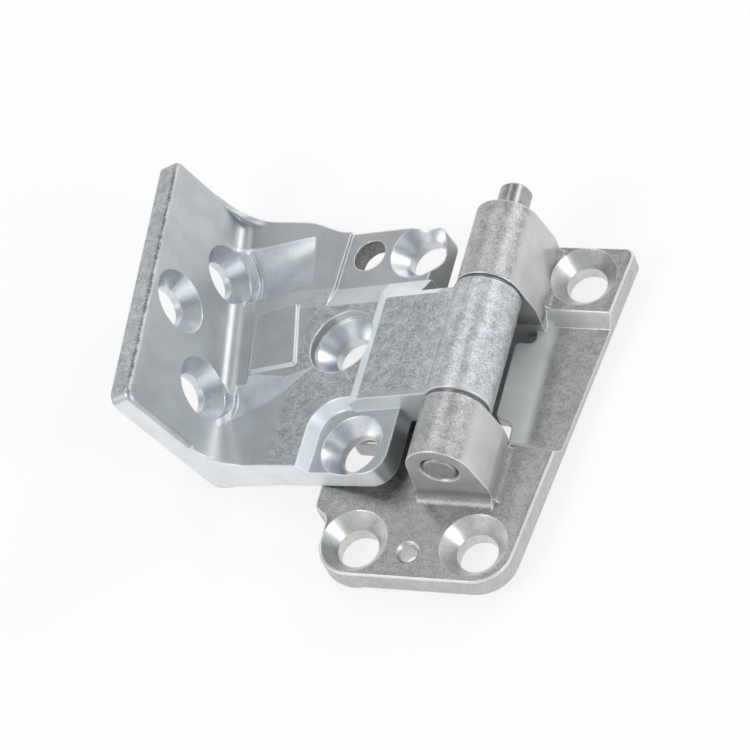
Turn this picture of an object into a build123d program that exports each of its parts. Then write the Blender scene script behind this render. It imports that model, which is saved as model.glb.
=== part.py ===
"""Car door hinge, in millimetres: a pillar leaf, a door leaf, a hinge pin and two flanged bushes.

Frame: +Z is up and z = 0 is the floor under the pillar leaf's screw pads. The origin is the
centre of the lower screw hole beside the lug. The pin axis runs along +Y. Sketch positions
are counted from the foot of the pin axis: the point on the floor under the lower lug's end.
"""
import math
import os

from build123d import *

os.makedirs("parts", exist_ok=True)

# Pin and bushes
pin_radius = 4.0
pin_projection = 8.6
pin_tip_chamfer = 0.9
pin_foot_chamfer = 0.4
running_clearance = 0.05
bush_wall = 1.0
bush_sleeve = 12.5
bush_flange = 1.1
bush_flange_radius = 7.7
end_gap = 0.15

# Lengths of the three knuckles along the pin
lower_lug_length = 16.4
knuckle_length = 30.8
upper_lug_length = 21.1

# Pillar leaf
axis_height = 20.1
pad_foot = 1.4
plate_thickness = 6.0
lug_radius = 8.0
lug_left_lean = 4.0
lug_right_lean = 13.5
lug_foot_drop = 7.2
lug_left_fillet = 1.3
lug_right_fillet = 2.0
lug_front_fillet = 3.0
bore_chamfer = 0.85
bore_chamfer_depth = 1.5
plate_top_y = 72.2
plate_tab_end = -34.1
edge_slope = 0.128
edge_offset = 19.5
top_edge_rise = 0.5
edge_round = 0.9
recess_depth = 3.6
recess_draft = 36.0
recess_low_y = 16.2
recess_high_y = 53.9
window_left = -7.4
window_web = 3.2
window_right = 8.0
window_low_pocket = 8.0
window_high_pocket = 3.4

# Screw holes, the same countersink everywhere
screw_radius = 5.0
sink_radius = 8.2
sink_angle = 40.0
pillar_screws = [(-21.7, -13.0), (7.75, -11.8), (17.3, 63.8)]
screw_pad_radius = 8.5
guide_hole = (-7.7, -15.0)
guide_radius = 2.3
guide_chamfer = 0.6

# Door leaf, in its own plane through the pin axis
rest_tilt = 13.0
knuckle_radius = 8.25
rest_gap = 0.05
leaf_seat = 1.0
tab_level = 1.9
root_level = 3.0
flat_level = 4.15
arm_level = 6.0
arm_reach = 26.3
arm_foot = 27.9
arm_slope_y = 46.5
tab_right = -15.9
tab_draft = 11.0
tab_top = 70.0
pad_right = -15.2
pad_low = -0.5
pad_left = -36.3
pad_wall_y = 18.1
pad_wall_angle = 28.0
pad_wall_round = 6.5
screw_pad_hole = (-25.9, 8.0)
screw_mid_hole = (-35.3, 36.1)
screw_tab_hole = (-21.9, 63.1)
plain_hole = (-36.5, 62.9)
plain_radius = 4.35
plain_relief_radius = 6.4
plain_relief_depth = 1.8
mid_spot_radius = 8.8
mid_spot_depth = 2.6
leaf_far_y = 78.8
leaf_near_y = 2.6
slab_far_y = 95.0
slab_near_y = -12.0
slab_reach = 100.0

# Flange, turned and leaned against the leaf plane
flange_yaw = 12.72
flange_lean = 7.9
flange_offset = -58.5
flange_thickness = 5.8
flange_low = 15.8
flange_high = 93.8
flange_rise_low = 45.2
flange_rise_high = 40.2
flange_screws = [(72.7, 16.4), (53.5, 32.2), (34.5, 20.4)]
flange_edge_round = 1.4
flange_back_round = 0.7
foot_round = 5.0
channel_start = 3.0
channel_radii = [9.2, 0.0, 9.7]
channel_draft = 0.0
channel_reach = [22.0, 0.0, 17.5]
panel_rise = 0.7
panel_draft = 30.0
panel_corners = [(-61.0, 28.1), (-45.7, 29.6), (-51.0, 49.7), (-64.3, 47.2)]
panel_corner_round = 1.8
root_round = 4.0
valley_level = 3.2
valley_width = 5.9
valley_low_y = 22.0
valley_high_y = 53.0
low_blend_y = 15.0
high_blend_y = 64.0
low_stations = [(-4.0, 13.0), (15.0, 4.0)]
high_stations = [(64.0, 4.0), (86.0, 15.0)]
lip_pocket_corners = [(-62.6, 72.6), (-66.0, 69.6), (-79.0, 66.8), (-83.0, 77.9), (-73.0, 75.4)]
ramp_start = 47.0
ramp_end = 53.5
step_left = -43.4

# Derived sizes
screw_a, screw_b, screw_c = pillar_screws
pin_foot = Vector(-screw_b[0], -screw_b[1], 0)
floor = Plane(origin=pin_foot)
plate_top = pad_foot + plate_thickness
knuckle_low = lower_lug_length + end_gap + bush_flange
knuckle_high = knuckle_low + knuckle_length
upper_lug_low = knuckle_high + bush_flange + end_gap
upper_lug_high = upper_lug_low + upper_lug_length
bush_outer = pin_radius + running_clearance + bush_wall
pin_plane = Plane(origin=pin_foot + Vector(0, 0, axis_height), x_dir=(1, 0, 0), z_dir=(0, 1, 0))
end_plane = Plane(origin=pin_plane.origin + Vector(0, upper_lug_high, 0), x_dir=(1, 0, 0),
                  z_dir=(0, -1, 0))
sink_depth = (sink_radius - screw_radius) / math.tan(math.radians(sink_angle))


def corner_arc(before, here, after, radius):
    """Start, middle and end of the arc that rounds the corner at here."""
    back = (before - here).normalized()
    ahead = (after - here).normalized()
    bisector = (back + ahead).normalized()
    half = math.radians(back.get_angle(ahead)) / 2
    reach = radius / math.tan(half)
    centre = here + bisector * (radius / math.sin(half))
    return here + back * reach, centre - bisector * radius, here + ahead * reach


def rounded_outline(corners):
    """Closed line through corners given as (x, y, radius), each one rounded."""
    count = len(corners)
    points = [Vector(x, y) for x, y, radius in corners]
    arcs = []
    for i in range(count):
        arcs.append(corner_arc(points[i - 1], points[i], points[(i + 1) % count], corners[i][2]))
    for i in range(count):
        start, middle, end = arcs[i]
        ThreePointArc(start, middle, end)
        Line(end, arcs[(i + 1) % count][0])


def hollow_corner(out_dir, up_dir, radius, back):
    """Closed line round the hollow corner between two ways, reaching back behind the corner."""
    start, middle, end = corner_arc(out_dir * slab_reach, Vector(0, 0), up_dir * slab_reach, radius)
    ThreePointArc(start, middle, end)
    Polyline(end, end - out_dir * back, Vector(0, 0) - out_dir * back - up_dir * back,
             start - up_dir * back, start)


def sink_tool(depth_below):
    """Countersink and its through hole, cut down from the local origin."""
    Cone(bottom_radius=screw_radius, top_radius=sink_radius, height=sink_depth,
         align=(Align.CENTER, Align.CENTER, Align.MAX), mode=Mode.SUBTRACT)
    Cylinder(radius=screw_radius, height=depth_below,
             align=(Align.CENTER, Align.CENTER, Align.MAX), mode=Mode.SUBTRACT)
    Cylinder(radius=sink_radius, height=12.0,
             align=(Align.CENTER, Align.CENTER, Align.MIN), mode=Mode.SUBTRACT)


# Pillar leaf
right_low = edge_slope * (screw_b[1] - 9.8) + edge_offset
right_high = edge_slope * plate_top_y + edge_offset
plate_corners = [
    (screw_a[0] - 8.7, screw_a[1] - 9.2, 8.6),
    (right_low, screw_b[1] - 9.8, 9.4),
    (right_high, plate_top_y + top_edge_rise, 2.4),
    (-11.6, plate_top_y, 3.0),
    (-11.6, 40.0, 4.0),
    (-30.5, 40.0, 5.0),
    (-30.5, 13.4, 2.5),
    (-20.0, 13.4, 3.5),
    (-20.0, 4.8, 3.5),
    (plate_tab_end, 4.8, 3.5),
    (plate_tab_end, -4.9, 2.4),
    (screw_a[0] - 8.7, -7.4, 2.0),
]

with BuildPart(floor) as pillar_leaf:
    with BuildSketch(floor.offset(pad_foot)):
        with BuildLine():
            rounded_outline(plate_corners)
        make_face()
    extrude(amount=plate_thickness)
    fillet(pillar_leaf.faces().sort_by(Axis.Z)[-1].outer_wire().edges(), edge_round)
    fillet(pillar_leaf.faces().sort_by(Axis.Z)[0].outer_wire().edges(), edge_round * 0.6)
    # Recess between the screw pads, open to the slanted edge
    with BuildSketch(floor.offset(plate_top)):
        with BuildLine():
            Polyline((-2.0, recess_low_y + 1.3), (40.0, recess_low_y - 4.0), (40.0, recess_high_y),
                     (-2.0, recess_high_y), close=True)
        make_face()
    extrude(amount=-recess_depth, taper=recess_draft, mode=Mode.SUBTRACT)
    # Window under the centre knuckle, wider at its two ends
    with BuildSketch(floor.offset(-1.0)):
        with BuildLine():
            rounded_outline([
                (window_left, lower_lug_length, 0.6),
                (window_right, lower_lug_length, 0.6),
                (window_right, lower_lug_length + window_low_pocket, 3.0),
                (window_web, lower_lug_length + window_low_pocket, 2.0),
                (window_web, upper_lug_low - window_high_pocket, 1.2),
                (window_right, upper_lug_low - window_high_pocket, 1.4),
                (window_right, upper_lug_low, 0.6),
                (window_left, upper_lug_low, 0.6),
            ])
        make_face()
    extrude(amount=plate_top + 2.0, mode=Mode.SUBTRACT)
    # Two lugs round the pin, with a leaning flank on the screw side
    left_lean = math.radians(lug_left_lean)
    right_lean = math.radians(lug_right_lean)
    lug_root = axis_height - pad_foot - 1.0
    left_tangent = (-lug_radius * math.cos(left_lean), lug_radius * math.sin(left_lean))
    right_tangent = (lug_radius * math.cos(right_lean), lug_radius * math.sin(right_lean))
    left_foot = left_tangent[0] - (lug_root + left_tangent[1]) * math.tan(left_lean)
    right_foot = right_tangent[0] + (lug_foot_drop + right_tangent[1]) * math.tan(right_lean)
    for low_y, length in ((0.0, lower_lug_length), (upper_lug_low, upper_lug_length)):
        lug_plane = Plane(origin=pin_foot + Vector(0, low_y, axis_height), x_dir=(1, 0, 0), z_dir=(0, -1, 0))
        with BuildSketch(lug_plane):
            with BuildLine():
                ThreePointArc(left_tangent, (0, lug_radius), right_tangent)
                Polyline(right_tangent, (right_foot, -lug_foot_drop), (right_foot, -lug_root),
                         (left_foot, -lug_root), left_tangent)
            make_face()
        extrude(amount=-length)
    # Hollow feet of the lugs on the plate's top
    foot_left = left_tangent[0] - (axis_height - plate_top + left_tangent[1]) * math.tan(left_lean)
    flank = Vector(math.sin(left_lean), math.cos(left_lean))
    for corner_x, out_dir, up_dir, radius, y_from, y_to in (
            (foot_left, Vector(-1, 0), flank, lug_left_fillet, 0.0, lower_lug_length),
            (foot_left, Vector(-1, 0), flank, lug_left_fillet, upper_lug_low, upper_lug_high),
            (right_foot, Vector(1, 0), Vector(0, 1), lug_right_fillet, 0.0, recess_low_y - 1.5),
            (right_foot, Vector(1, 0), Vector(0, 1), lug_right_fillet, recess_high_y, upper_lug_high)):
        foot_plane = Plane(origin=pin_foot + Vector(corner_x, y_from, plate_top), x_dir=(1, 0, 0),
                           z_dir=(0, -1, 0))
        with BuildSketch(foot_plane):
            with BuildLine():
                hollow_corner(out_dir, up_dir, radius, 0.6)
            make_face()
        extrude(amount=y_from - y_to)
    front_foot = Plane(origin=pin_foot + Vector(foot_left, 0, plate_top), x_dir=(0, -1, 0), z_dir=(-1, 0, 0))
    with BuildSketch(front_foot):
        with BuildLine():
            hollow_corner(Vector(1, 0), Vector(0, 1), lug_front_fillet, 0.6)
        make_face()
    extrude(amount=foot_left - right_foot)
    # Contact pads under the three screws
    with BuildSketch(floor):
        with Locations(*pillar_screws):
            Circle(screw_pad_radius)
    extrude(amount=pad_foot + 0.5)
    # Screw holes and the small guide hole
    for point in pillar_screws:
        with Locations((point[0], point[1], plate_top)):
            sink_tool(plate_top + 1.0)
    with Locations((guide_hole[0], guide_hole[1], plate_top)):
        Cylinder(radius=guide_radius, height=plate_top + 1.0,
                 align=(Align.CENTER, Align.CENTER, Align.MAX), mode=Mode.SUBTRACT)
        Cone(bottom_radius=guide_radius, top_radius=guide_radius + guide_chamfer, height=guide_chamfer,
             align=(Align.CENTER, Align.CENTER, Align.MAX), mode=Mode.SUBTRACT)
    # Pin bore
    with BuildSketch(pin_plane.offset(-1.0)):
        Circle(pin_radius)
    extrude(amount=upper_lug_high + 2.0, mode=Mode.SUBTRACT)
    for mouth in (pin_plane, end_plane):
        with BuildSketch(mouth):
            Circle(pin_radius + bore_chamfer)
        extrude(amount=bore_chamfer_depth,
                taper=math.degrees(math.atan(bore_chamfer / bore_chamfer_depth)), mode=Mode.SUBTRACT)
pillar_leaf.part.label = "pillar_leaf"
export_step(pillar_leaf.part, "parts/pillar_leaf.step")

# Door leaf
tilt = math.radians(rest_tilt)
stop_x = plate_tab_end + edge_round
stop_z = plate_top - edge_round - axis_height
leaf_under = stop_z * math.cos(tilt) - stop_x * math.sin(tilt) + edge_round + rest_gap
leaf_plane = Plane(origin=pin_plane.origin, x_dir=(math.cos(tilt), 0, math.sin(tilt)),
                   z_dir=(-math.sin(tilt), 0, math.cos(tilt)))
yaw = math.radians(flange_yaw)
lean = math.radians(flange_lean)
normal_local = Vector(math.cos(lean) * math.cos(yaw), math.cos(lean) * math.sin(yaw), math.sin(lean))
flange_normal = (leaf_plane.x_dir * normal_local.X + leaf_plane.y_dir * normal_local.Y
                 + leaf_plane.z_dir * normal_local.Z)
along = (Vector(0, 1, 0) - flange_normal * flange_normal.Y).normalized()
flange_plane = Plane(origin=leaf_plane.origin + flange_normal * flange_offset, x_dir=along,
                     z_dir=flange_normal)


def flange_line(y):
    """Leaf-plane x where the flange's mid plane stands at leaf-plane y."""
    return (flange_offset - flange_thickness * 0.6 - normal_local.Y * y) / normal_local.X


root_run = Vector(-normal_local.Y, normal_local.X, 0).normalized()
root_out = Vector(root_run.Y, -root_run.X, 0)


def valley_corner(level, depth, y):
    """Sketch plane across the line where a leaf level meets the flange face at that depth.

    Returns the plane, and in it the ways along the level and up the flange's face.
    """
    reach = (flange_offset + depth - normal_local.Y * y - normal_local.Z * level) / normal_local.X
    origin = leaf_plane.from_local_coords(Vector(reach, y, level))
    run = leaf_plane.x_dir * root_run.X + leaf_plane.y_dir * root_run.Y
    across = leaf_plane.x_dir * root_out.X + leaf_plane.y_dir * root_out.Y
    flat = math.hypot(normal_local.X, normal_local.Y)
    return Plane(origin=origin, x_dir=across, z_dir=run), Vector(1, 0), Vector(-normal_local.Z, -flat)


with BuildPart() as flange_plate:
    # Flange, standing on the slab's far edge
    with BuildSketch(flange_plane):
        with BuildLine():
            rounded_outline([
                (flange_low, -1.0, 0.5),
                (flange_high, -1.0, 0.5),
                (flange_high, flange_rise_high, 2.0),
                (flange_low, flange_rise_low, 3.2),
            ])
        make_face()
    extrude(amount=-flange_thickness)
    fillet(flange_plate.faces().sort_by(Axis(flange_plane.origin, flange_normal))[-1].edges(),
           flange_edge_round)
    fillet(flange_plate.faces().sort_by(Axis(flange_plane.origin, flange_normal))[0].edges(),
           flange_back_round)

side_plane = Plane(origin=leaf_plane.origin, x_dir=leaf_plane.y_dir, z_dir=leaf_plane.x_dir)
front_plane = Plane(origin=leaf_plane.origin, x_dir=leaf_plane.x_dir, z_dir=leaf_plane.y_dir)

leaf_corners = [
    (pad_right, pad_low, 5.5),
    (pad_right, knuckle_low + 0.6, 0.3),
    (tab_right, knuckle_low + 0.6, 0.3),
    (tab_right, tab_top, 4.0),
    (-45.5, tab_top, 12.0),
    (-56.0, 74.4, 20.0),
    (-68.0, 76.0, 20.0),
    (flange_line(leaf_far_y), leaf_far_y, 1.0),
    (flange_line(leaf_near_y), leaf_near_y, 1.0),
    (-48.0, 2.0, 30.0),
]

valley_blends = []
for level, stations in ((flat_level, low_stations), (root_level, high_stations)):
    with BuildPart() as blend:
        for y, radius in stations:
            corner, out_dir, up_dir = valley_corner(level, 0.0, y)
            with BuildSketch(corner):
                with BuildLine():
                    hollow_corner(out_dir, up_dir, radius, 1.6)
                make_face()
        loft(ruled=True)
        with BuildSketch(leaf_plane.offset(leaf_under + 0.5)):
            with BuildLine():
                rounded_outline(leaf_corners)
            make_face()
        extrude(amount=40.0, mode=Mode.INTERSECT)
    valley_blends.append(blend.part)

with BuildPart() as lip_pocket:
    # Column over the pocket, kept clear of the valley's own surface
    corner, out_dir, up_dir = valley_corner(root_level, 0.0, high_blend_y - 4.0)
    with BuildSketch(corner):
        with BuildLine():
            start, middle, end = corner_arc(out_dir * slab_reach, Vector(0, 0), up_dir * slab_reach, root_round)
            ThreePointArc(start, middle, end)
            Polyline(end, end + up_dir * 14, start + out_dir * 14 + up_dir * 14,
                     start + out_dir * 14, start)
        make_face()
    extrude(amount=30.0)
    with BuildSketch(leaf_plane.offset(-10.0)):
        with BuildLine():
            rounded_outline([(x, y, 1.2) for x, y in lip_pocket_corners])
        make_face()
    extrude(amount=60.0, mode=Mode.INTERSECT)

with BuildPart() as door_leaf:
    # Slab with its top falling from the main flat to the flange root
    with BuildSketch(side_plane.offset(-arm_reach + 1.0)):
        with BuildLine():
            Polyline((slab_near_y, leaf_under), (slab_near_y, flat_level), (ramp_start, flat_level),
                     (ramp_end, root_level), (slab_far_y, root_level), (slab_far_y, leaf_under),
                     close=True)
        make_face()
    extrude(amount=-slab_reach + arm_reach)
    # Lower ground between the flange and the raised panel, with a slanted side
    ground, out_dir, up_dir = valley_corner(valley_level, 0.0, valley_low_y)
    with BuildSketch(ground):
        rise = flat_level + 3.0 - valley_level
        Polygon((-20.0, 0.0), (valley_width, 0.0), (valley_width + rise, -rise), (-20.0, -rise), align=None)
    extrude(amount=(valley_high_y - valley_low_y) / root_run.Y, mode=Mode.SUBTRACT)
    # Tab and screw seat toward the pin
    with BuildSketch(leaf_plane.offset(leaf_under)):
        Polygon((-arm_reach, knuckle_high - 6.0), (tab_right, knuckle_high - 6.0),
                (tab_right, slab_far_y), (-arm_reach, slab_far_y), align=None)
    extrude(amount=tab_level - leaf_under)
    with BuildSketch(leaf_plane.offset(leaf_under)):
        Polygon((-arm_reach, slab_near_y), (pad_right, slab_near_y), (pad_right, knuckle_low + 1.0),
                (-arm_reach, knuckle_low + 1.0), align=None)
    extrude(amount=leaf_seat - leaf_under)
    # Step down to the tab
    with BuildSketch(side_plane.offset(-arm_reach + 1.0)):
        with BuildLine():
            Polyline((ramp_start, flat_level), (ramp_end, tab_level), (slab_far_y, tab_level),
                     (slab_far_y, 20.0), (ramp_start, 20.0), close=True)
        make_face()
    extrude(amount=step_left + arm_reach - 1.0, mode=Mode.SUBTRACT)
    # Sloping wall round the screw seat beside the lug
    with BuildSketch(leaf_plane.offset(leaf_seat)):
        with BuildLine():
            rounded_outline([
                (-arm_reach + 22.0, pad_wall_y, 1.0),
                (pad_left, pad_wall_y, pad_wall_round),
                (pad_left, slab_near_y - 3.0, 1.0),
                (-arm_reach + 22.0, slab_near_y - 3.0, 1.0),
            ])
        make_face()
    extrude(amount=8.0, taper=-pad_wall_angle, mode=Mode.SUBTRACT)
    # Valley between the slab and the flange, opening out toward both ends
    for level, y_from, y_to in ((flat_level, low_blend_y, valley_low_y + 1.0),
                                (valley_level, valley_low_y, valley_high_y),
                                (root_level, valley_high_y - 1.0, high_blend_y)):
        corner, out_dir, up_dir = valley_corner(level, 0.0, y_from)
        with BuildSketch(corner):
            with BuildLine():
                hollow_corner(out_dir, up_dir, root_round, 2.0)
            make_face()
        extrude(amount=(y_to - y_from) / root_run.Y)
    # Everything is trimmed to the slab's outline
    with BuildSketch(leaf_plane.offset(leaf_under - 1.0)):
        with BuildLine():
            rounded_outline(leaf_corners)
        make_face()
    extrude(amount=40.0, mode=Mode.INTERSECT)
    for blend_part in valley_blends:
        add(blend_part)
    # Pocket behind the lip at the valley's high end
    add(lip_pocket.part, mode=Mode.SUBTRACT)
    # Draft on the tab's side toward the pin
    with BuildSketch(front_plane.offset(knuckle_high)):
        slant = (tab_level - leaf_under) * math.tan(math.radians(tab_draft))
        Polygon((tab_right, -leaf_under), (tab_right - slant, -tab_level),
                (tab_right - slant, -20.0), (tab_right + 10.0, -20.0), (tab_right + 10.0, -leaf_under),
                align=None)
    extrude(amount=40.0, mode=Mode.SUBTRACT)
    add(flange_plate.part)
    # What hangs below the slab's underside goes, and the outer corner is rounded
    with BuildSketch(leaf_plane.offset(leaf_under)):
        Rectangle(slab_reach * 3, slab_reach * 3)
    extrude(amount=-20.0, mode=Mode.SUBTRACT)
    corner, out_dir, up_dir = valley_corner(leaf_under, -flange_thickness, -6.0)
    with BuildSketch(corner):
        with BuildLine():
            hollow_corner(out_dir, up_dir, foot_round, 2.0)
        make_face()
    extrude(amount=slab_reach, mode=Mode.SUBTRACT)
    # Arm with sloping sides, and the centre knuckle
    with BuildSketch(leaf_plane.offset(leaf_under)):
        Polygon((-arm_foot, knuckle_low), (0.0, knuckle_low), (0.0, knuckle_high),
                (tab_right, knuckle_high), (tab_right, ramp_end), (-arm_foot, ramp_end), align=None)
    extrude(amount=arm_level - leaf_under)
    with BuildSketch(side_plane.offset(5.0)):
        Polygon((arm_slope_y, arm_level), (ramp_end + 0.3, tab_level), (ramp_end + 5.0, tab_level),
                (ramp_end + 5.0, 20.0), (arm_slope_y, 20.0), align=None)
    extrude(amount=-arm_foot - 5.0, mode=Mode.SUBTRACT)
    with BuildSketch(front_plane.offset(knuckle_low - 1.0)):
        Polygon((-arm_reach + 1.8, -arm_level), (-arm_foot, -flat_level), (-arm_foot, -20.0),
                (-arm_reach + 1.8, -20.0), align=None)
    extrude(amount=knuckle_length + 10.0, mode=Mode.SUBTRACT)
    arm_plane = Plane(origin=leaf_plane.origin + leaf_plane.y_dir * knuckle_low,
                      x_dir=leaf_plane.x_dir, z_dir=-leaf_plane.y_dir)
    with BuildSketch(arm_plane):
        Circle(knuckle_radius)
    extrude(amount=-knuckle_length)
    # Plain raised panel between the two head reliefs
    with BuildSketch(leaf_plane.offset(valley_level - 0.5)):
        with BuildLine():
            rounded_outline([(x, y, panel_corner_round) for x, y in panel_corners])
        make_face()
    extrude(amount=flat_level + panel_rise - valley_level + 0.5, taper=panel_draft)
    # Head reliefs in the slab, in line with the flange's outer two screws
    for point, reach, radius in zip(flange_screws, channel_reach, channel_radii):
        if reach > 0:
            with BuildSketch(flange_plane.offset(channel_start)):
                with Locations(point):
                    Circle(radius)
            extrude(amount=reach - channel_start, taper=channel_draft, mode=Mode.SUBTRACT)
    # Screw holes with their seats
    seats = [
        (leaf_plane, screw_pad_hole, leaf_seat, sink_radius),
        (leaf_plane, screw_mid_hole, flat_level - mid_spot_depth, mid_spot_radius),
        (leaf_plane, screw_tab_hole, tab_level, sink_radius),
    ]
    for point in flange_screws:
        seats.append((flange_plane, point, 0.0, sink_radius))
    for plane, point, level, spot in seats:
        with BuildSketch(plane.offset(level)):
            with Locations(point):
                Circle(spot)
        extrude(amount=8.0, mode=Mode.SUBTRACT)
        with BuildSketch(plane.offset(level)):
            with Locations(point):
                Circle(sink_radius)
        extrude(amount=-sink_depth, taper=sink_angle, mode=Mode.SUBTRACT)
        with BuildSketch(plane.offset(level)):
            with Locations(point):
                Circle(screw_radius)
        extrude(amount=-20.0, mode=Mode.SUBTRACT)
    # Plain hole in the tab, relieved from below
    with BuildSketch(leaf_plane.offset(leaf_under - 1.0)):
        with Locations(plain_hole):
            Circle(plain_radius)
    extrude(amount=20.0, mode=Mode.SUBTRACT)
    with BuildSketch(leaf_plane.offset(leaf_under - 1.0)):
        with Locations(plain_hole):
            Circle(plain_relief_radius)
    extrude(amount=plain_relief_depth + 1.0, mode=Mode.SUBTRACT)
    # Bush bore
    with BuildSketch(arm_plane.offset(1.0)):
        Circle(bush_outer)
    extrude(amount=-knuckle_length - 2.0, mode=Mode.SUBTRACT)
door_leaf.part.label = "door_leaf"
export_step(door_leaf.part, "parts/door_leaf.step")

# Hinge pin, flush with the lower lug and standing out of the upper one
with BuildPart() as hinge_pin:
    with BuildSketch(pin_plane):
        Circle(pin_radius)
    extrude(amount=upper_lug_high + pin_projection)
    chamfer(hinge_pin.edges().filter_by(GeomType.CIRCLE).sort_by(Axis.Y)[-1], pin_tip_chamfer)
    chamfer(hinge_pin.edges().filter_by(GeomType.CIRCLE).sort_by(Axis.Y)[0], pin_foot_chamfer)
hinge_pin.part.label = "hinge_pin"
export_step(hinge_pin.part, "parts/hinge_pin.step")

# Flanged bushes pressed in the centre knuckle
for name, face_y, inward in (("lower_bush", knuckle_low, 1.0), ("upper_bush", knuckle_high, -1.0)):
    with BuildPart() as bush:
        seat = Plane(origin=pin_plane.origin + Vector(0, face_y, 0), x_dir=(1, 0, 0),
                     z_dir=(0, inward, 0))
        with BuildSketch(seat):
            Circle(bush_outer)
        extrude(amount=bush_sleeve)
        with BuildSketch(seat):
            Circle(bush_flange_radius)
        extrude(amount=-bush_flange)
        with BuildSketch(seat.offset(-bush_flange - 1.0)):
            Circle(pin_radius + running_clearance)
        extrude(amount=bush_sleeve + bush_flange + 2.0, mode=Mode.SUBTRACT)
    bush.part.label = name
    export_step(bush.part, "parts/" + name + ".step")
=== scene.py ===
"""Car door hinge: zinc-plated castings on a pale floor, seen from above and to the right."""
import math

import bpy
from mathutils import Matrix, Vector


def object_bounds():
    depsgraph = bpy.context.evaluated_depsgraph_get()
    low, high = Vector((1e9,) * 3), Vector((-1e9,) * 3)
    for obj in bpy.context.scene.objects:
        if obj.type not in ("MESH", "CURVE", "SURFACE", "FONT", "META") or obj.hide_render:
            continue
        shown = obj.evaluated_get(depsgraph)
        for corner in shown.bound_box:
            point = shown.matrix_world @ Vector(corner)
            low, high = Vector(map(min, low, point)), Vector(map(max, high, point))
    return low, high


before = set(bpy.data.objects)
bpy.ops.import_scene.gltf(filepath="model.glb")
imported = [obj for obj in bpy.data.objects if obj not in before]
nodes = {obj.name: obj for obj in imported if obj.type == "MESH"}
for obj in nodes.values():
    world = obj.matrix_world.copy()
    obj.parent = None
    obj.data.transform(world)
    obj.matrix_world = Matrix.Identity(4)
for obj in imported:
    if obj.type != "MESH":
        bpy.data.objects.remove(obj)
first_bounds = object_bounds()

MM = 0.001
RIGHT = Vector((1, 0, 0))
FRONT = Vector((0, -1, 0))
UP = Vector((0, 0, 1))

# A point on the pin's axis, in metres, and heights from it in mm
PIN = Vector((-0.00775, 0.0118, 0.0201))
PLATE_FOOT = -20.1
PLATE_TOP = -12.7
RECESS_FLOOR = -16.3

# Directions of the tilted door leaf, and of its flange: square to it and up along it
TILT = math.radians(13.0)
LEAF_X = Vector((math.cos(TILT), 0.0, math.sin(TILT)))
LEAF_Y = Vector((0.0, 1.0, 0.0))
LEAF_Z = Vector((-math.sin(TILT), 0.0, math.cos(TILT)))
FLANGE_N = Vector((0.910518, 0.218097, 0.35127))
FLANGE_TOP = Vector((-0.3542, -0.0300, 0.9347))

# Sockets of the Mix node, whose names repeat
FACTOR, FLOAT_A, FLOAT_B, COLOUR_A, COLOUR_B = 0, 2, 3, 6, 7
FLOAT_RESULT, COLOUR_RESULT = 0, 2


# Camera
def place_camera():
    """The photo's camera, fitted to the ellipses of the holes and the straight edges."""
    data = bpy.data.cameras.new("photo_camera")
    camera = bpy.data.objects.new("photo_camera", data)
    bpy.context.scene.collection.objects.link(camera)
    right = Vector((0.931978, 0.237330, -0.274029))
    up = Vector((-0.063572, 0.851194, 0.520987))
    back = Vector((0.356898, -0.468128, 0.808381))
    distance = 0.70619
    turn = Matrix((right, up, back)).transposed()
    camera.matrix_world = Matrix.Translation(PIN + back * distance) @ turn.to_4x4()
    data.sensor_width = 36.0
    data.lens = 148.017
    data.shift_x = -0.08533
    data.shift_y = 0.12744
    data.clip_start = 0.01
    bpy.context.scene.camera = camera


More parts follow.
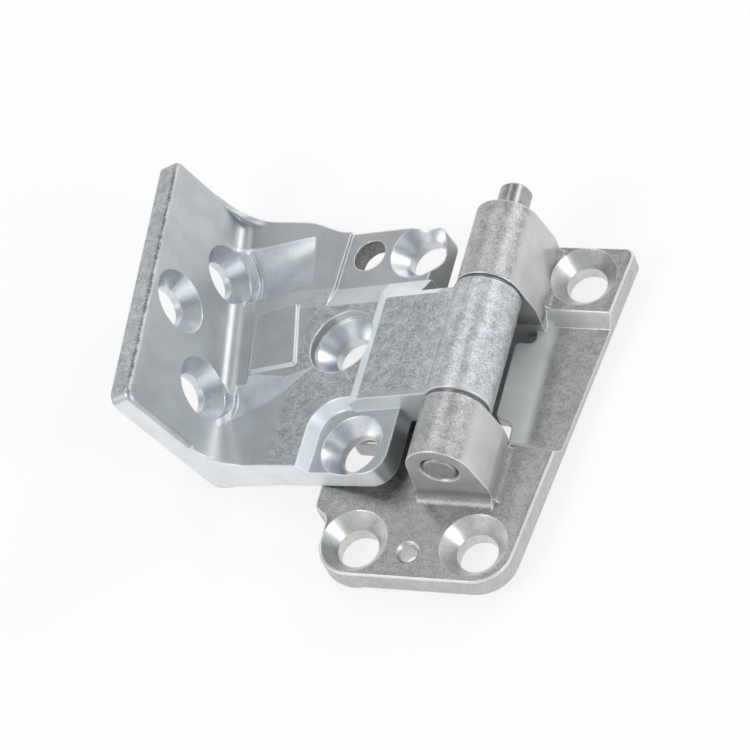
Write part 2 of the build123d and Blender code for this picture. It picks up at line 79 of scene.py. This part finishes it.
# Materials
class Paint:
    """One Principled material and short ways to add nodes to it."""

    def __init__(self, name):
        self.material = bpy.data.materials.new(name)
        self.material.use_nodes = True
        self.tree = self.material.node_tree
        self.shader = self.tree.nodes["Principled BSDF"]
        self.coord = self.tree.nodes.new("ShaderNodeTexCoord")

    def put(self, value, socket):
        if isinstance(value, (int, float)):
            socket.default_value = value
        else:
            self.tree.links.new(value, socket)

    def math(self, operation, first, second):
        node = self.tree.nodes.new("ShaderNodeMath")
        node.operation = operation
        self.put(first, node.inputs[0])
        self.put(second, node.inputs[1])
        return node.outputs[0]

    def both(self, first, second):
        """Where both masks are, or a share of one mask."""
        return self.math("MULTIPLY", first, second)

    def either(self, first, second):
        return self.math("MAXIMUM", first, second)

    def outside(self, mask):
        return self.math("SUBTRACT", 1.0, mask)

    def noise(self, scale, detail, rough=0.6):
        node = self.tree.nodes.new("ShaderNodeTexNoise")
        node.inputs["Scale"].default_value = scale
        node.inputs["Detail"].default_value = detail
        node.inputs["Roughness"].default_value = rough
        self.tree.links.new(self.coord.outputs["Object"], node.inputs["Vector"])
        return node.outputs["Fac"]

    def ramp(self, value, low, high, out_low=0.0, out_high=1.0):
        node = self.tree.nodes.new("ShaderNodeMapRange")
        node.interpolation_type = "SMOOTHSTEP"
        self.put(value, node.inputs["Value"])
        node.inputs["From Min"].default_value = low
        node.inputs["From Max"].default_value = high
        node.inputs["To Min"].default_value = out_low
        node.inputs["To Max"].default_value = out_high
        return node.outputs["Result"]

    def rise(self, source, direction, start, end):
        """0 to 1 as the dot product of a coordinate and the direction goes from start to end."""
        node = self.tree.nodes.new("ShaderNodeVectorMath")
        node.operation = "DOT_PRODUCT"
        self.tree.links.new(self.coord.outputs[source], node.inputs[0])
        node.inputs[1].default_value = direction
        if start < end:
            return self.ramp(node.outputs["Value"], start, end)
        return self.ramp(node.outputs["Value"], end, start, 1.0, 0.0)

    def along(self, direction, start, end):
        """0 to 1 where the surface's place, in mm from the pin, goes from start to end."""
        foot = PIN.dot(direction)
        return self.rise("Object", direction, foot + start * MM, foot + end * MM)

    def facing(self, direction, start, end):
        """0 to 1 as the surface turns toward the direction, by its cosine."""
        return self.rise("Normal", direction, start, end)

    def place_band(self, direction, begin, end):
        """1 between two places, with a soft beginning and end, each a pair in mm from the pin."""
        return self.both(self.along(direction, *begin), self.along(direction, *end))

    def slope_band(self, direction, begin, end):
        """1 between two slopes, with a soft beginning and end, each a pair of cosines."""
        return self.both(self.facing(direction, *begin), self.facing(direction, *end))

    def mix(self, factor, low, high):
        """Mixes two values, or two colours given as tuples."""
        node = self.tree.nodes.new("ShaderNodeMix")
        self.put(factor, node.inputs[FACTOR])
        if isinstance(low, tuple):
            node.data_type = "RGBA"
            node.inputs[COLOUR_A].default_value = (*low, 1)
            node.inputs[COLOUR_B].default_value = (*high, 1)
            return node.outputs[COLOUR_RESULT]
        node.data_type = "FLOAT"
        self.put(low, node.inputs[FLOAT_A])
        self.put(high, node.inputs[FLOAT_B])
        return node.outputs[FLOAT_RESULT]

    def blend(self, factor, low, high):
        """Mixes two colour sockets."""
        node = self.tree.nodes.new("ShaderNodeMix")
        node.data_type = "RGBA"
        self.put(factor, node.inputs[FACTOR])
        self.put(low, node.inputs[COLOUR_A])
        self.put(high, node.inputs[COLOUR_B])
        return node.outputs[COLOUR_RESULT]

    def finish(self, colour, rough, height, strength, soft, metal, wear_and_highlight_colour):
        """Links the shader. Edges are rounded by the soft radius and painted toward a bright colour,
        partly as wear and partly as painted highlight.
        """
        edge = self.tree.nodes.new("ShaderNodeBevel")
        edge.samples = 6
        edge.inputs["Radius"].default_value = soft
        flat = self.tree.nodes.new("ShaderNodeNewGeometry")
        bend = self.tree.nodes.new("ShaderNodeVectorMath")
        bend.operation = "DOT_PRODUCT"
        self.tree.links.new(edge.outputs["Normal"], bend.inputs[0])
        self.tree.links.new(flat.outputs["Normal"], bend.inputs[1])
        # Edges painted toward the bright colour: partly wear, partly painted highlight
        wear_and_highlight = self.ramp(bend.outputs["Value"], 0.90, 0.995, 1.0, 0.0)
        wear_and_highlight_rgb = self.tree.nodes.new("ShaderNodeRGB")
        wear_and_highlight_rgb.outputs[0].default_value = (*wear_and_highlight_colour, 1)
        self.put(self.blend(wear_and_highlight, colour, wear_and_highlight_rgb.outputs[0]), self.shader.inputs["Base Color"])
        self.put(self.mix(wear_and_highlight, rough, 0.3), self.shader.inputs["Roughness"])
        self.put(self.mix(wear_and_highlight, metal, 0.55), self.shader.inputs["Metallic"])
        bump = self.tree.nodes.new("ShaderNodeBump")
        bump.inputs["Distance"].default_value = 0.4 * MM
        self.put(strength, bump.inputs["Strength"])
        self.put(height, bump.inputs["Height"])
        self.put(edge.outputs["Normal"], bump.inputs["Normal"])
        self.put(bump.outputs["Normal"], self.shader.inputs["Normal"])
        return self.material


def tone(tint, share):
    return tuple(share * part for part in tint)


def cast_zinc(name, tint, zones, painted_lift_range):
    """Plated casting: smooth with faint clouds and grainy in its grainy zone, with painted light in its
    pale zone, painted lighter in its lifted zone and painted shade in its dark zone.
    """
    edge_soft = 0.6 * MM
    paint = Paint(name)
    cloud = paint.ramp(paint.noise(140.0, 3.0), 0.3, 0.7)
    grain = paint.mix(0.35, paint.noise(2000.0, 3.0, 0.7), paint.noise(420.0, 2.0))
    grainy = zones["grainy"](paint)
    pale = zones["pale"](paint)
    smooth_colour = paint.mix(cloud, tone(tint, 0.50), tone(tint, 0.57))
    grainy_colour = paint.mix(paint.ramp(grain, 0.36, 0.64), tone(tint, 0.36), tone(tint, 0.67))
    # Painted light: the much lighter colour of the pale zone, which also gets less metal below
    painted_light_colour = paint.mix(cloud, tone(tint, 0.82), tone(tint, 0.90))
    base = paint.tree.nodes.new("ShaderNodeVectorMath")
    base.operation = "SCALE"
    paint.put(paint.blend(grainy, smooth_colour, grainy_colour), base.inputs[0])
    # Painted light and shade: colour scaled from the rest of the part up to the lifted zone
    paint.put(paint.mix(zones["lifted"](paint), *painted_lift_range), base.inputs["Scale"])
    colour = paint.blend(pale, base.outputs["Vector"], painted_light_colour)
    # The dark zone takes painted shade, mottled by the grain
    if "dark" in zones:
        painted_shade_colour = paint.mix(paint.ramp(grain, 0.38, 0.66), (0.16, 0.16, 0.165), (0.55, 0.55, 0.55))
        colour = paint.blend(zones["dark"](paint), colour, painted_shade_colour)
    rough = paint.mix(grainy, 0.42, paint.ramp(grain, 0.3, 0.7, 0.38, 0.50))
    strength = paint.mix(grainy, 0.05, 0.22)
    metal = paint.mix(pale, 0.9, 0.32)
    # The last colour is for the edges: partly wear, partly painted highlight
    return paint.finish(colour, rough, grain, strength, edge_soft, metal, tone(tint, 0.93))


def turned_steel(name, low, high, rough, soft=0.3, bump=0.03):
    """Machined metal between two colours, with edges rounded by so many mm and painted brighter, partly
    as wear and partly as painted highlight.
    """
    paint = Paint(name)
    grain = paint.noise(1500.0, 2.0)
    cloud = paint.mix(0.4, paint.noise(260.0, 3.0), grain)
    colour = paint.mix(paint.ramp(cloud, 0.36, 0.64), low, high)
    # Brighter edge colour: partly wear, partly painted highlight
    wear_and_highlight_colour = tuple(min(1.2 * part, 0.95) for part in high)
    return paint.finish(colour, rough, grain, bump, soft * MM, 0.96, wear_and_highlight_colour)


# Zones of the door leaf
def door_grainy(paint):
    """Middle of the slab, arm and knuckle, off the pad and the tab, and the flange's top edge."""
    inner = paint.along(LEAF_X, -49.5, -45.5)
    below_tab = paint.along(LEAF_Y, 54.0, 52.0)
    off_pad = paint.either(paint.along(LEAF_X, -36.5, -38.5), paint.along(LEAF_Y, 18.0, 20.0))
    level = paint.either(paint.facing(LEAF_Z, 0.92, 0.98), paint.along(LEAF_X, -10.0, -8.0))
    middle = paint.both(paint.both(paint.both(inner, below_tab), off_pad), level)
    rim = paint.both(paint.facing(FLANGE_TOP, 0.88, 0.95), paint.along(FLANGE_TOP, 34.0, 36.0))
    return paint.either(middle, rim)


def door_painted_light(paint):
    """Painted highlight on the slopes of the arm, pad wall and step to the tab, and on the upright
    front side.
    """
    inner = paint.place_band(LEAF_X, (-47.0, -44.0), (-9.0, -11.0))
    sloping = paint.slope_band(LEAF_Z, (0.34, 0.44), (0.96, 0.92))
    front = paint.facing(FRONT, 0.80, 0.90)
    return paint.either(paint.both(inner, sloping), paint.both(front, 0.8))


def door_painted_lift(paint):
    """The knuckle, painted lighter than the rest of the leaf."""
    return paint.along(LEAF_X, -12.0, -7.0)


def door_painted_shade(paint):
    """Painted shade on the flange's inner edge toward its top."""
    toward = (FLANGE_N + FLANGE_TOP).normalized()
    return paint.both(paint.facing(toward, 0.90, 0.97), paint.along(FLANGE_TOP, 36.0, 38.0))


# Zones of the pillar leaf
def pillar_recess(paint):
    """The recess near the middle knuckle."""
    deep = paint.along(UP, PLATE_TOP - 1.3, PLATE_TOP - 2.8)
    level = paint.facing(UP, 0.3, 0.5)
    return paint.both(paint.both(deep, level), paint.along(RIGHT, 14.0, 11.0))


def pillar_grainy(paint):
    """All but the recess near the knuckle and the lugs' upright front and right sides."""
    upright = paint.either(paint.facing(FRONT, 0.8, 0.95), paint.facing(RIGHT, 0.75, 0.92))
    side = paint.both(upright, paint.along(UP, PLATE_TOP + 0.1, PLATE_TOP + 0.7))
    return paint.outside(paint.either(pillar_recess(paint), side))


def pillar_painted_light(paint):
    """Painted light on the recess, lightened against its shade, and less so painted highlight on its
    step, the plate's upper edge, its sides and the lugs' right.
    """
    below_top = (PLATE_TOP + 0.04, PLATE_TOP - 0.06)
    edge_level = paint.place_band(UP, (PLATE_TOP - 1.1, PLATE_TOP - 0.8), below_top)
    edge = paint.both(edge_level, paint.slope_band(UP, (0.2, 0.4), (0.97, 0.92)))
    above_recess = (RECESS_FLOOR + 0.1, RECESS_FLOOR + 0.3)
    step_level = paint.place_band(UP, above_recess, (PLATE_TOP, PLATE_TOP - 0.2))
    step = paint.both(step_level, paint.slope_band(UP, (0.45, 0.55), (0.92, 0.86)))
    lug = paint.both(paint.along(UP, PLATE_TOP + 0.7, PLATE_TOP + 1.7), paint.facing(RIGHT, 0.75, 0.92))
    side = paint.both(paint.along(UP, PLATE_TOP - 0.5, PLATE_TOP - 0.9), paint.facing(UP, 0.4, 0.2))
    pale = pillar_recess(paint)
    for mask, share in ((edge, 0.7), (step, 0.6), (lug, 0.3), (side, 0.35)):
        pale = paint.either(pale, paint.both(mask, share))
    return pale


def pillar_painted_lift(paint):
    """The lugs above the plate, painted lighter than the plate under them."""
    return paint.along(UP, PLATE_TOP + 1.2, PLATE_TOP + 4.7)


pillar_zones = {"grainy": pillar_grainy, "pale": pillar_painted_light, "lifted": pillar_painted_lift}
door_zones = {"grainy": door_grainy, "pale": door_painted_light, "lifted": door_painted_lift, "dark": door_painted_shade}
# Each part's last pair scales its colour from the rest to its lifted zone, as painted light and shade
cast_pillar = cast_zinc("cast_pillar", (1.0, 0.995, 0.965), pillar_zones, (0.63, 0.94))
cast_door = cast_zinc("cast_door", (0.965, 1.0, 1.02), door_zones, (1.0, 1.12))
pillar_seat = turned_steel("pillar_seat", (0.58, 0.575, 0.555), (0.73, 0.725, 0.705), 0.34)
head_relief = turned_steel("head_relief", (0.66, 0.685, 0.70), (0.75, 0.775, 0.79), 0.44, 0.6, 0.05)
door_seat = turned_steel("door_seat", (0.64, 0.665, 0.68), (0.76, 0.785, 0.80), 0.33)
pin_steel = turned_steel("pin_steel", (0.34, 0.335, 0.33), (0.46, 0.455, 0.45), 0.3)
bore_wall = turned_steel("bore_wall", (0.20, 0.20, 0.20), (0.34, 0.335, 0.33), 0.55)
bush_metal = turned_steel("bush_metal", (0.17, 0.17, 0.175), (0.26, 0.26, 0.27), 0.4, 0.2)


def dress(name, *slots):
    """Gives a node its material slots."""
    materials = nodes[name].data.materials
    materials.clear()
    for material in slots:
        materials.append(material)


def dress_bores(name, bores):
    """Gives the faces that look toward the axis of a bore the material of the bore's slot.

    A bore is a point of its axis, the axis, its reach around it and its two ends in mm, and a slot.
    """
    toward_axis = -0.2
    for polygon in nodes[name].data.polygons:
        polygon.material_index = 0
        for foot, axis, reach, low, high, slot in bores:
            arm = polygon.center - foot
            height = arm.dot(axis)
            spoke = arm - axis * height
            if low * MM < height < high * MM and 0.1 * MM < spoke.length < reach * MM:
                if polygon.normal.dot(spoke.normalized()) < toward_axis:
                    polygon.material_index = slot


def leaf_point(x, y, z):
    """A point in mm from the pin, along the door leaf's own directions."""
    return PIN + (LEAF_X * x + LEAF_Y * y + LEAF_Z * z) * MM


# Slots of the bores, and reaches just over their radii. A seat is a countersink with its bore
SEAT, RELIEF, BORE = 1, 2, 3
SEAT_REACH = 8.3
RELIEF_REACH = 9.9
PLAIN_REACH = 6.0
guide_hole = (-7.7, -15.0)
pillar_holes = ((-21.7, -13.0), (7.75, -11.8), (17.3, 63.8), guide_hole)
slab_screws = ((-25.9, 8.0, 1.0), (-35.3, 36.1, 1.6), (-21.9, 63.1, 1.9))
plain_hole = (-36.5, 62.9, 1.9)
flange_screws = ((-0.086088, 0.068943, 0.007456), (-0.087868, 0.050205, 0.023704),
                 (-0.079755, 0.031662, 0.014187))

pillar_bores = []
for x, y in pillar_holes:
    foot = PIN + Vector((x, y, PLATE_FOOT)) * MM
    pillar_bores.append((foot, UP, SEAT_REACH, -1.0, 7.8, SEAT))
door_bores = [(leaf_point(*place), LEAF_Z, SEAT_REACH, -7.0, 0.3, SEAT) for place in slab_screws]
door_bores.append((leaf_point(*plain_hole), LEAF_Z, PLAIN_REACH, -9.0, 0.3, BORE))
for place in flange_screws:
    door_bores.append((Vector(place), FLANGE_N, SEAT_REACH, -1.4, 5.3, SEAT))
    door_bores.append((Vector(place), FLANGE_N, RELIEF_REACH, 5.5, 26.2, RELIEF))

dress("pillar_leaf", cast_pillar, pillar_seat)
dress("door_leaf", cast_door, door_seat, head_relief, bore_wall)
dress("hinge_pin", pin_steel)
dress("lower_bush", bush_metal)
dress("upper_bush", bush_metal)
dress_bores("pillar_leaf", pillar_bores)
dress_bores("door_leaf", door_bores)


# Floor and light
def floor_material():
    """Pale floor that shows nearly white, with a patch of painted shade under the far part of the
    knuckle window.
    """
    paint = Paint("pale_floor")
    tree = paint.tree
    # Painted shade: a dark grey floor patch, seen through the window's far part, that gets none of the
    # glow
    painted_shade_patch = paint.both(paint.place_band(RIGHT, (-11.0, -10.0), (9.3, 8.5)),
                     paint.place_band(LEAF_Y, (26.2, 27.2), (53.5, 52.5)))
    colour = paint.mix(painted_shade_patch, (0.93, 0.93, 0.93), (0.30, 0.31, 0.31))
    paint.put(colour, paint.shader.inputs["Base Color"])
    paint.shader.inputs["Roughness"].default_value = 0.9
    glow = tree.nodes.new("ShaderNodeEmission")
    glow.inputs["Color"].default_value = (1, 1, 1, 1)
    glow.inputs["Strength"].default_value = 1.0
    path = tree.nodes.new("ShaderNodeLightPath")
    seen = paint.either(path.outputs["Is Camera Ray"], path.outputs["Is Glossy Ray"])
    seen = paint.either(seen, path.outputs["Is Transmission Ray"])
    glow_share = 0.8
    mix = tree.nodes.new("ShaderNodeMixShader")
    tree.links.new(paint.both(seen, paint.both(paint.outside(painted_shade_patch), glow_share)), mix.inputs[0])
    tree.links.new(paint.shader.outputs[0], mix.inputs[1])
    tree.links.new(glow.outputs[0], mix.inputs[2])
    tree.links.new(mix.outputs[0], tree.nodes["Material Output"].inputs["Surface"])
    return paint.material


def build_floor():
    """A square floor at the object's lowest point."""
    half = 3.0
    level = first_bounds[0][2]
    corners = [(-half, -half, level), (half, -half, level), (half, half, level), (-half, half, level)]
    mesh = bpy.data.meshes.new("floor")
    mesh.from_pydata(corners, [], [(0, 1, 2, 3)])
    mesh.materials.append(floor_material())
    floor = bpy.data.objects.new("floor", mesh)
    bpy.context.scene.collection.objects.link(floor)


def area_light(name, place, aim, size, power, colour=(1, 1, 1)):
    data = bpy.data.lights.new(name, "AREA")
    data.shape = "RECTANGLE"
    data.size = size[0]
    data.size_y = size[1]
    data.energy = power
    data.color = colour
    lamp = bpy.data.objects.new(name, data)
    bpy.context.scene.collection.objects.link(lamp)
    lamp.location = place
    lamp.rotation_euler = (Vector(aim) - Vector(place)).to_track_quat("-Z", "Y").to_euler()


def build_surround():
    """A world that is white below and near the horizon, and duller above."""
    world = bpy.data.worlds.new("studio")
    bpy.context.scene.world = world
    world.use_nodes = True
    tree = world.node_tree
    background = tree.nodes["Background"]
    coord = tree.nodes.new("ShaderNodeTexCoord")
    split = tree.nodes.new("ShaderNodeSeparateXYZ")
    tree.links.new(coord.outputs["Generated"], split.inputs[0])
    sky = tree.nodes.new("ShaderNodeValToRGB")
    stops = ((0.0, (1.0, 1.0, 1.0)), (0.30, (0.92, 0.95, 0.98)), (0.58, (0.40, 0.43, 0.455)),
             (1.0, (0.22, 0.24, 0.255)))
    while len(sky.color_ramp.elements) < len(stops):
        sky.color_ramp.elements.new(0.5)
    for element, (place, colour) in zip(sky.color_ramp.elements, stops):
        element.position = place
        element.color = (*colour, 1)
    tree.links.new(split.outputs["Z"], sky.inputs["Fac"])
    tree.links.new(sky.outputs["Color"], background.inputs["Color"])
    background.inputs["Strength"].default_value = 0.95


def light_scene():
    """The surround and four soft boxes, the one at the side a little blue."""
    build_surround()
    area_light("key", (-0.5, -0.6, 0.9), (0, 0.03, 0), (0.45, 0.45), 4.2)
    area_light("far", (0.45, 0.80, 0.60), (-0.04, 0.04, 0), (0.35, 0.35), 2.2)
    area_light("top", (-0.25, 0.35, 1.0), (-0.02, 0.04, 0), (0.16, 0.7), 2.0)
    area_light("side", (0.9, -0.2, 0.45), (0, 0.03, 0), (0.3, 0.6), 3.0, (0.82, 0.91, 1.0))


place_camera()
build_floor()
light_scene()
bpy.context.scene.view_settings.view_transform = "Standard"
